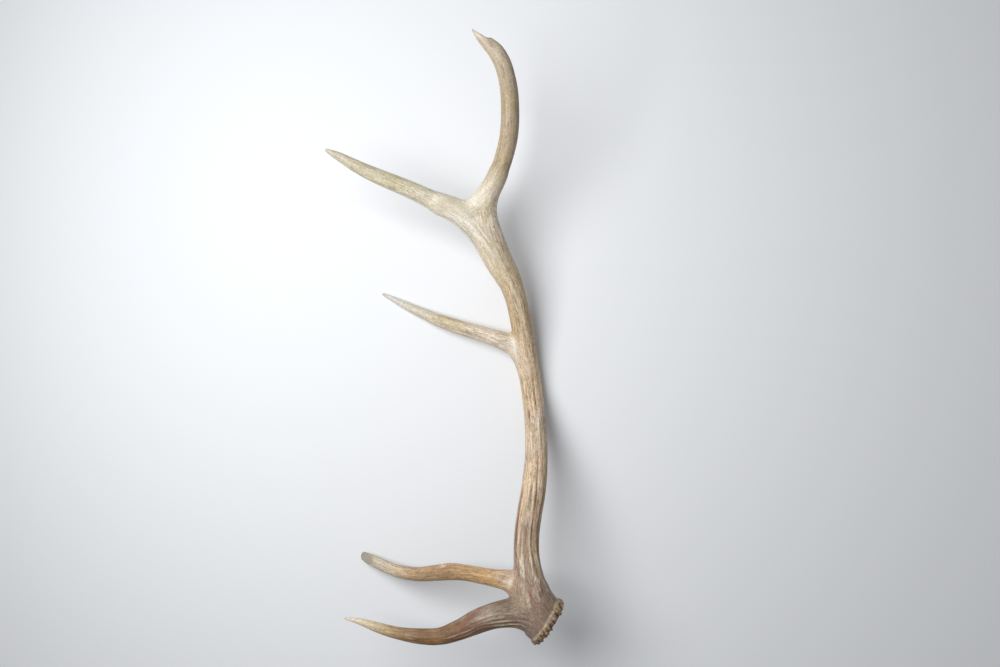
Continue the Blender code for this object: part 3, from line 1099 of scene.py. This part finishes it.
        values = {
            Layer.BEAM_GRAIN: grains[0],
            Layer.TINE_GRAIN: tine_grain,
            Layer.TINE_SHARE: tines.sum(axis=0),
            Layer.GRAIN_FADE: (1 - 2 * ranked[-2]) * (1 - 0.5 * polish) * fade,
            Layer.RELIEF: np.clip(tone, -1, 1),
            Layer.STAIN_AND_SHADE: stain,
            Layer.POLISH: np.maximum(polish, self.RUBBED * band),
            Layer.BROKEN: broken,
            Layer.GROUND: ground,
        }
        fields = {"FLOAT": "value", "FLOAT_VECTOR": "vector", "FLOAT_COLOR": "color"}
        for layer, value in values.items():
            name, kind = layer.value
            attribute = mesh.attributes.new(name, kind, "POINT")
            flat = np.ascontiguousarray(value, np.float32).ravel()
            attribute.data.foreach_set(fields[kind], flat)


# ---- Finishes ----


@dataclass(frozen=True)
class Grain:
    """A noise drawn out along the limbs, by the length and width of its marks in mm."""

    length: float
    width: float
    detail: float
    roughness: float = 0.55


@dataclass(frozen=True)
class Tint:
    """A colour laid on as a value goes from start, where there is none, to full."""

    colour: str
    start: float
    full: float
    strength: float


@dataclass
class BoneTree:
    """The antler's node tree, with the steps that its finish repeats."""

    tree: bpy.types.NodeTree

    NOISE = (0.3, 0.7)  # the range that most of a noise falls in

    def __post_init__(self) -> None:
        """Adds the nodes that read the mesh's layers and the object's own space."""
        self.layers = {
            layer: add_node(self.tree, "ShaderNodeAttribute", {"attribute_name": layer.value[0]})
            for layer in Layer
        }
        self.place = add_node(self.tree, "ShaderNodeTexCoord").outputs["Object"]

    def add(self, kind: str, inputs: Inputs, out: str | int = 0, **own: Any) -> Socket:
        """Adds a node by its inputs and own settings, and gives one of its outputs."""
        return add_node(self.tree, kind, own, inputs).outputs[out]

    def level(self, layer: Layer, out: str = "Fac") -> Socket:
        """What the mesh says in a layer."""
        return self.layers[layer].outputs[out]

    def along_limbs(self, grain: Grain) -> Socket:
        """A grain laid along the beam and the tines, which fades to its mean where they meet."""
        scale = (1 / (grain.length * MM), 1 / (grain.width * MM), 1 / (grain.width * MM))
        finish = {"Scale": 1.0, "Detail": grain.detail, "Roughness": grain.roughness}
        values = []
        for layer in (Layer.BEAM_GRAIN, Layer.TINE_GRAIN):
            ends = {0: self.level(layer, "Vector"), 1: scale}
            place = self.add("ShaderNodeVectorMath", ends, operation="MULTIPLY")
            values.append(self.add("ShaderNodeTexNoise", {"Vector": place, **finish}, "Fac"))
        share, fade = self.level(Layer.TINE_SHARE), self.level(Layer.GRAIN_FADE)
        both = self.add("ShaderNodeMix", {0: share, 2: values[0], 3: values[1]})
        return self.add("ShaderNodeMix", {0: fade, 2: 0.5, 3: both})

    def all_round(self, size: float, detail: float) -> Socket:
        """A noise alike in every direction, by the size of its marks in mm."""
        pattern = {"Vector": self.place, "Scale": 1 / (size * MM), "Detail": detail}
        return self.add("ShaderNodeTexNoise", pattern, "Fac")

    def between(self, value: Socket, low: float, high: float, top: float) -> Socket:
        """A value spread smoothly from low..high to 0..top, and held there."""
        ends = {"Value": value, "From Min": low, "From Max": high, "To Min": 0.0, "To Max": top}
        return self.add("ShaderNodeMapRange", ends, interpolation_type="SMOOTHSTEP")

    def cover(self, below: Socket, amount: Socket, colour: str) -> Socket:
        """One colour laid over another, as strongly as amount says."""
        ends = {0: amount, 6: below, 7: linear(colour)}
        return self.add("ShaderNodeMix", ends, 2, data_type="RGBA", blend_type="MIX")

    def tint(self, below: Socket, value: Socket, tint: Tint) -> Socket:
        """A tint laid over a colour, where a value says."""
        amount = self.between(value, tint.start, tint.full, tint.strength)
        return self.cover(below, amount, tint.colour)

    def shade(self, below: Socket, value: Socket, shades: Pair) -> Socket:
        """A colour made darker or lighter by a noise, between two shades."""
        (low, high), (dark, light) = self.NOISE, shades
        ends = {"Value": value, "From Min": low, "From Max": high, "To Min": dark, "To Max": light}
        factor = self.add("ShaderNodeMapRange", ends)
        return self.add("ShaderNodeVectorMath", {0: below, "Scale": factor}, operation="SCALE")

    def times(self, a: Socket, b: Socket | float) -> Socket:
        """The product of two values."""
        return self.add("ShaderNodeMath", {0: a, 1: b}, operation="MULTIPLY")


@dataclass(frozen=True)
class WeatheredAntler:
    """Shed red deer antler, dried and weathered: dense bone with a thin brown skin.

    The skin is stained dark in the grooves and rubbed pale on the crests, with painted shade in the
    grooves and between the burr's pearls and painted highlights on the crests. Fine fibres run
    along every limb, and the tips are polished by use.
    """

    fibre: Grain = Grain(40.0, 2.2, 3.0)
    streak: Grain = Grain(110.0, 5.0, 2.0)
    dash: Grain = Grain(12.0, 1.6, 3.0)
    fleck: Grain = Grain(7.0, 1.7, 1.0)
    blotch: Pair = (46.0, 2.0)  # size in mm, and detail
    grit: Pair = (2.6, 3.0)
    pit: float = 1.9
    olive: Tint = Tint("#a3915e", 0.5, 0.75, 0.35)
    lilac: Tint = Tint("#c4b8ab", 0.5, 0.25, 0.35)
    # partly the real stain of the grooves and partly painted shade in them
    groove: Tint = Tint("#5f4630", -0.05, -0.75, 0.6)
    # partly the real wear of the crests and partly a painted highlight on them
    crest: Tint = Tint("#e2d6ba", 0.1, 0.8, 0.4)
    brown_fibre: Tint = Tint("#83502f", 0.47, 0.3, 0.22)
    dark_fleck: Tint = Tint("#5f4630", 0.43, 0.3, 0.55)
    # painted shade: near black in the deepest grooves and in the gaps between the burr's pearls
    deep_shade: Tint = Tint("#2e2117", -0.62, -1.0, 0.75)
    # brown stain from the marks, and painted shade where a mark darkens the beam's shaded side
    stain: Tint = Tint("#83502f", 0.0, 1.0, 0.75)
    ivory: Tint = Tint("#ebe4d6", 0.0, -1.0, 0.75)
    inner: str = "#a1998b"
    pore: Tint = Tint("#5a4a38", 0.35, 0.1, 0.75)
    streak_shades: Pair = (0.86, 1.12)
    fibre_shades: Pair = (0.7, 1.26)
    dash_shades: Pair = (0.74, 1.22)
    grit_shades: Pair = (0.79, 1.19)
    roughness: Pair = (0.62, 0.42)  # dry, and polished
    fibre_bump: Pair = (0.6, 0.6)  # strength, and depth in mm
    pit_bump: Pair = (0.7, 0.8)

    def make(self) -> bpy.types.Material:
        """Builds the material.

        Returns:
            The finished material.
        """
        material = bpy.data.materials.new("weathered_antler")
        material.use_nodes = True
        tree = BoneTree(material.node_tree)
        fibre, streak = tree.along_limbs(self.fibre), tree.along_limbs(self.streak)
        dash, fleck = tree.along_limbs(self.dash), tree.along_limbs(self.fleck)
        blotch, grit = tree.all_round(*self.blotch), tree.all_round(*self.grit)
        relief, stained = tree.level(Layer.RELIEF), tree.level(Layer.STAIN_AND_SHADE)
        colour = tree.level(Layer.GROUND, "Color")
        colour = tree.tint(colour, blotch, self.olive)
        colour = tree.tint(colour, blotch, self.lilac)
        colour = tree.shade(colour, streak, self.streak_shades)
        # grooves darkened by stain and painted shade, crests paled by wear and a painted highlight
        colour = tree.tint(colour, relief, self.groove)
        colour = tree.tint(colour, relief, self.crest)
        colour = tree.shade(colour, fibre, self.fibre_shades)
        colour = tree.tint(colour, fibre, self.brown_fibre)
        colour = tree.shade(colour, dash, self.dash_shades)
        colour = tree.shade(colour, grit, self.grit_shades)
        colour = tree.tint(colour, fleck, self.dark_fleck)
        # painted shade, near black, in the deepest grooves and between the pearls
        colour = tree.tint(colour, relief, self.deep_shade)
        # the marks' brown stain, painted shade on the beam's shaded side included
        colour = tree.tint(colour, stained, self.stain)
        colour = tree.tint(colour, stained, self.ivory)
        pattern = {"Vector": tree.place, "Scale": 1 / (self.pit * MM), "Randomness": 1.0}
        pores = tree.add("ShaderNodeTexVoronoi", pattern, "Distance", feature="F1")
        bare = tree.level(Layer.BROKEN)
        colour = tree.cover(colour, bare, self.inner)
        pore = self.pore
        amount = tree.between(pores, pore.start, pore.full, pore.strength)
        colour = tree.cover(colour, tree.times(bare, amount), pore.colour)
        dry, polished = self.roughness
        ends = {"Value": tree.level(Layer.POLISH), "To Min": dry, "To Max": polished}
        rough = tree.add("ShaderNodeMapRange", ends)
        depth = tree.add("ShaderNodeMath", {0: fibre, 1: tree.times(fleck, 0.5)}, operation="ADD")
        pitted = tree.times(bare, tree.between(pores, 0.1, 0.4, 1.0))
        normal = {}
        for height, (strength, deep) in ((depth, self.fibre_bump), (pitted, self.pit_bump)):
            bump = {"Height": height, "Strength": strength, "Distance": deep * MM}
            normal = {"Normal": tree.add("ShaderNodeBump", {**bump, **normal})}
        shader = material.node_tree.nodes["Principled BSDF"]
        finish = {"Base Color": colour, "Roughness": rough, **normal}
        for name, socket in finish.items():
            material.node_tree.links.new(socket, shader.inputs[name])
        return material


@dataclass(frozen=True)
class PaintedBoard:
    """A matt white painted floor, which gives a plain, faintly cool ground for the shadows."""

    colour: str = "#e9ebee"
    roughness: float = 0.85

    def make(self) -> bpy.types.Material:
        """Builds the material."""
        material = bpy.data.materials.new("painted_board")
        material.use_nodes = True
        shader = material.node_tree.nodes["Principled BSDF"]
        shader.inputs["Base Color"].default_value = linear(self.colour)
        shader.inputs["Roughness"].default_value = self.roughness
        return material


# ---- The studio ----


@dataclass
class Studio:
    """The floor, the window-like light from the left, and the camera looking down.

    Places and sizes are in metres, and the lens and its sensor in millimetres.
    """

    floor_size: float = 9.0
    camera_place: Point = (0.02041, -0.0047, 1.61602)
    camera_right: Point = (0.9992, -0.0005, 0.0400)
    camera_up: Point = (0.0, 0.9999, 0.012)
    camera_back: Point = (-0.040, -0.012, 0.9991)
    lens: float = 36.0
    sensor: float = 36.0
    window_place: Point = (-0.5, 0.28, 1.2)
    window_aim: Point = (1.18, -0.01, 0.0)
    window_size: Pair = (0.9, 0.9)
    window_power: float = 20.8
    sky: str = "#fafcff"
    sky_strength: float = 0.28

    def floor(self) -> None:
        """Lays the floor under the antler."""
        half = self.floor_size / 2
        mesh = bpy.data.meshes.new("floor")
        corners = [(-half, -half, 0), (half, -half, 0), (half, half, 0), (-half, half, 0)]
        mesh.from_pydata(corners, [], [(0, 1, 2, 3)])
        mesh.materials.append(PaintedBoard().make())
        add_object("floor", mesh)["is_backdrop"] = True

    def light(self) -> None:
        """Hangs one large soft light up on the left, and fills the room with pale daylight."""
        data = bpy.data.lights.new("window", "AREA")
        data.shape = "RECTANGLE"
        data.size, data.size_y = self.window_size
        data.energy = self.window_power
        window = add_object("window", data)
        window.location = self.window_place
        aim = Vector(self.window_aim) - Vector(self.window_place)
        window.rotation_euler = aim.to_track_quat("-Z", "Y").to_euler()
        window.visible_camera = False
        world = bpy.data.worlds.new("daylight")
        world.use_nodes = True
        background = world.node_tree.nodes["Background"]
        background.inputs["Color"].default_value = linear(self.sky)
        background.inputs["Strength"].default_value = self.sky_strength
        bpy.context.scene.world = world

    def camera(self) -> None:
        """Sets the camera above the antler, a little off square."""
        data = bpy.data.cameras.new("camera")
        data.sensor_width = self.sensor
        data.lens = self.lens
        camera = add_object("camera", data)
        axes = Matrix([self.camera_right, self.camera_up, self.camera_back]).transposed()
        camera.matrix_world = Matrix.LocRotScale(
            Vector(self.camera_place), axes.to_quaternion(), None
        )
        bpy.context.scene.camera = camera

    def build(self) -> None:
        """Builds the studio, with plain colour management."""
        self.floor()
        self.light()
        self.camera()
        bpy.context.scene.view_settings.view_transform = "Standard"


def main() -> None:
    """Builds the studio and the antler round the frame."""
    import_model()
    frame_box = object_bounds()
    Studio().build()
    antler = Antler(Form(antler_limbs(), Burr()), frame_box).build()
    antler.data.materials.clear()
    antler.data.materials.append(WeatheredAntler().make())


if __name__ == "__main__":
    logging.basicConfig(level=logging.INFO, format="%(name)s: %(message)s")
    main()
